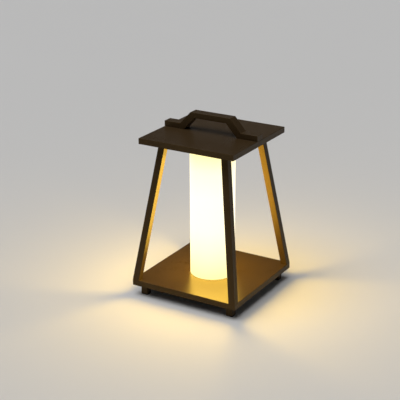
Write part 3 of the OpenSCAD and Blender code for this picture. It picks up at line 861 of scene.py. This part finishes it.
DARK_COAT = powder_coat(
    "dark bronze powder coat",
    dark=(0.0430, 0.0260, 0.0113),
    light=(0.0490, 0.0303, 0.0140),
    roughness=0.30,
)
UNDER_COAT = powder_coat(
    "inner powder coat",
    dark=(0.0140, 0.0105, 0.0080),
    light=(0.0180, 0.0135, 0.0100),
    roughness=0.45,
)
OPAL = opal()
RUBBER = rubber()
ZINC = bare_metal(
    "zinc-plated steel",
    dark=(0.50, 0.51, 0.52),
    light=(0.64, 0.65, 0.66),
    roughness=0.34,
    streak=(900, 900, 900),
    depth=0.00002,
)
NICKEL = bare_metal(
    "nickel-plated steel",
    dark=(0.58, 0.56, 0.52),
    light=(0.70, 0.68, 0.64),
    roughness=0.26,
    streak=(300, 1200, 300),
    depth=0.00001,
)
ALUMINIUM = bare_metal(
    "extruded aluminium",
    dark=(0.70, 0.71, 0.72),
    light=(0.82, 0.83, 0.84),
    roughness=0.38,
    streak=(1500, 1500, 8),
    depth=0.00003,
)
WHITE_PLASTIC = moulded(
    "white plastic", dark=(0.78, 0.765, 0.71), light=(0.84, 0.825, 0.77), roughness=0.45
)
BLACK_PLASTIC = moulded(
    "black plastic", dark=(0.012, 0.012, 0.014), light=(0.020, 0.020, 0.022), roughness=0.42
)
GREEN_BOARD = circuit(
    "green circuit board",
    mask_colour=(0.010, 0.095, 0.035),
    track_colour=(0.030, 0.180, 0.060),
    scale=260.0,
)
WHITE_BOARD = circuit(
    "white circuit board",
    mask_colour=(0.82, 0.81, 0.76),
    track_colour=(0.70, 0.69, 0.64),
    scale=180.0,
)
PHOSPHOR = phosphor()
SLEEVE = cell_sleeve()
JACKET = wire_jacket()


def dress(piece, name, finish, body, slot, *nodes):
    """Names a piece, gives it its finish, attaches it to the body that it moves with, and hides the
    imported nodes that it replaces.
    """
    piece.name = name
    piece.data.name = name
    piece.data.materials.clear()
    piece.data.materials.append(finish)
    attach(piece, body)
    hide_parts(*nodes)


def four_around(piece, name, finish, slot, node):
    """Dresses a piece made at the back right, and its three copies at the other corners."""
    places = (("front_right", -90), ("front_left", 180), ("back_left", 90))
    twins = [(place, copy_turned(piece, name, turn)) for place, turn in places]
    for place, twin in [("back_right", piece), *twins]:
        dress(twin, f"{name}_{place}", finish, "frame", slot, f"{node}_{place}")


dress(base_tray(), "tray_sheet", DARK_COAT, "frame", "dark_metal", "base_tray")
dress(lid(), "lid_sheet", DARK_COAT, "frame", "dark_metal", "lid")
dress(handle(), "handle_bar", DARK_COAT, "frame", "dark_metal", "handle")
four_around(post(), "post_bar", DARK_COAT, "dark_metal", "post")
four_around(foot(), "foot_block", DARK_COAT, "dark_metal", "foot")
four_around(pad(), "foot_pad", RUBBER, "rubber", "pad")
dress(opal_tube(), "light_tube", OPAL, "frame", "opal_plastic", "opal_tube")
dress(battery_pan(), "pan_sheet", UNDER_COAT, "frame", "under_metal", "battery_pan")
dress(power_button(), "button_cap", RUBBER, "button", "rubber", "power_button")
dress(port_flap(), "flap_plate", RUBBER, "flap", "rubber", "port_flap")
dress(flap_strap(), "strap_tab", RUBBER, "frame", "rubber", "flap_strap")

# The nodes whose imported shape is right, and the finishes that they get
KEPT_NODES = {
    DARK_COAT: ("foot_bosses", "board_bosses"),
    UNDER_COAT: ("bottom_cover", "lid_plate"),
    RUBBER: ("lower_seal", "upper_seal"),
    ZINC: (
        "pan_nuts",
        "pan_screws",
        "foot_screws",
        "post_base_screws",
        "post_lid_screws",
        "handle_screws",
        "lower_holder_screws",
        "upper_holder_screws",
        "led_board_screws",
        "board_screws",
    ),
    NICKEL: ("cell_contacts", "charging_socket"),
    ALUMINIUM: ("lid_spacers", "led_column"),
    WHITE_PLASTIC: ("lower_holder", "upper_holder", "switch_plunger", "lead_sockets"),
    BLACK_PLASTIC: (
        "battery_cradle",
        "socket_tongue",
        "switch_body",
        "control_chip",
        "power_inductor",
    ),
    GREEN_BOARD: ("control_board",),
    WHITE_BOARD: ("led_board_front", "led_board_back", "led_board_left", "led_board_right"),
    PHOSPHOR: ("led_chips",),
    SLEEVE: ("cell_front", "cell_back"),
    JACKET: ("battery_leads", "led_leads"),
}
for finish, names in KEPT_NODES.items():
    for name in names:
        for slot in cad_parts[name].material_slots:
            slot.material = finish


# Floor, light and camera


def studio_floor():
    """A round pale floor, 28 m across, whose rim curves up into a low wall."""
    deselect()
    bpy.ops.mesh.primitive_circle_add(
        vertices=96, radius=FLOOR_R, fill_type="NGON", location=(0, 0, 0)
    )
    floor = bpy.context.active_object
    floor.name = "studio_floor"
    pick(floor, lambda a, b: True, "EDGE")
    reach, rise = FLOOR_R, 0.0
    for k in range(COVE_STEPS):
        angle = math.pi / 2 * (k + 1) / COVE_STEPS
        next_reach = FLOOR_R + COVE_R * math.sin(angle)
        next_rise = COVE_R * (1 - math.cos(angle))
        bpy.ops.mesh.extrude_edges_move(TRANSFORM_OT_translate={"value": (0, 0, next_rise - rise)})
        scale = next_reach / reach
        bpy.ops.transform.resize(value=(scale, scale, 1), center_override=(0, 0, 0))
        reach, rise = next_reach, next_rise
    bpy.ops.mesh.extrude_edges_move(TRANSFORM_OT_translate={"value": (0, 0, WALL_RISE)})
    leave_edit()
    bpy.ops.object.shade_smooth_by_angle(angle=math.radians(SMOOTH_BELOW))
    floor.data.materials.append(floor_paint())


def studio():
    """The floor, a faint even light from all round, and a soft light from above."""
    studio_floor()
    world = bpy.data.worlds.new("studio")
    world.use_nodes = True
    background = world.node_tree.nodes["Background"]
    background.inputs["Color"].default_value = WORLD_COLOUR
    background.inputs["Strength"].default_value = WORLD_STRENGTH
    bpy.context.scene.world = world

    sky = bpy.data.lights.new("soft overhead light", "SUN")
    sky.energy = SUN_STRENGTH
    sky.angle = math.radians(SUN_SPREAD)
    lamp = bpy.data.objects.new("soft_overhead_light", sky)
    lamp.rotation_euler = [math.radians(a) for a in SUN_TURN]
    bpy.context.scene.collection.objects.link(lamp)


def tube_light():
    """The light that the tube throws: upright panels round it, facing outwards and not seen."""
    radius = (TUBE_R + PANEL_GAP) * MM
    height = (TUBE_TOP - TRAY_TOP) * MM
    width = 2 * radius * math.tan(math.pi / TUBE_PANELS)
    for low, high, strength in TUBE_ROWS:
        tall = (high - low) * height
        middle = TRAY_TOP * MM + low * height + tall / 2
        for k in range(TUBE_PANELS):
            turn = 2 * math.pi * (k + 0.5) / TUBE_PANELS
            glow = bpy.data.lights.new("light of the tube", "AREA")
            glow.shape = "RECTANGLE"
            glow.size = width
            glow.size_y = tall
            glow.energy = strength * math.pi * width * tall
            glow.color = TUBE_LIGHT
            panel = bpy.data.objects.new("light_of_the_tube", glow)
            out = Vector((-math.sin(turn), math.cos(turn), 0))
            panel.location = out * radius + Vector((0, 0, middle))
            panel.rotation_euler = (math.pi / 2, 0, turn)
            panel.visible_camera = False
            bpy.context.scene.collection.objects.link(panel)


def camera():
    """The camera, at the photograph's place and angle."""
    lens = bpy.data.cameras.new("view")
    lens.sensor_width = SENSOR_WIDTH
    lens.lens = LENS
    lens.clip_end = 50
    eye = bpy.data.objects.new("view", lens)
    swing = Matrix.Rotation(math.radians(CAMERA_SWING), 3, "Z")
    tilt = Matrix.Rotation(math.radians(CAMERA_TILT), 3, "X")
    roll = Matrix.Rotation(math.radians(CAMERA_ROLL), 3, "Z")
    eye.rotation_euler = (swing @ tilt @ roll).to_euler()
    eye.location = CAMERA_AT
    bpy.context.scene.collection.objects.link(eye)
    bpy.context.scene.camera = eye


studio()
tube_light()
camera()
bpy.context.scene.view_settings.view_transform = "Standard"
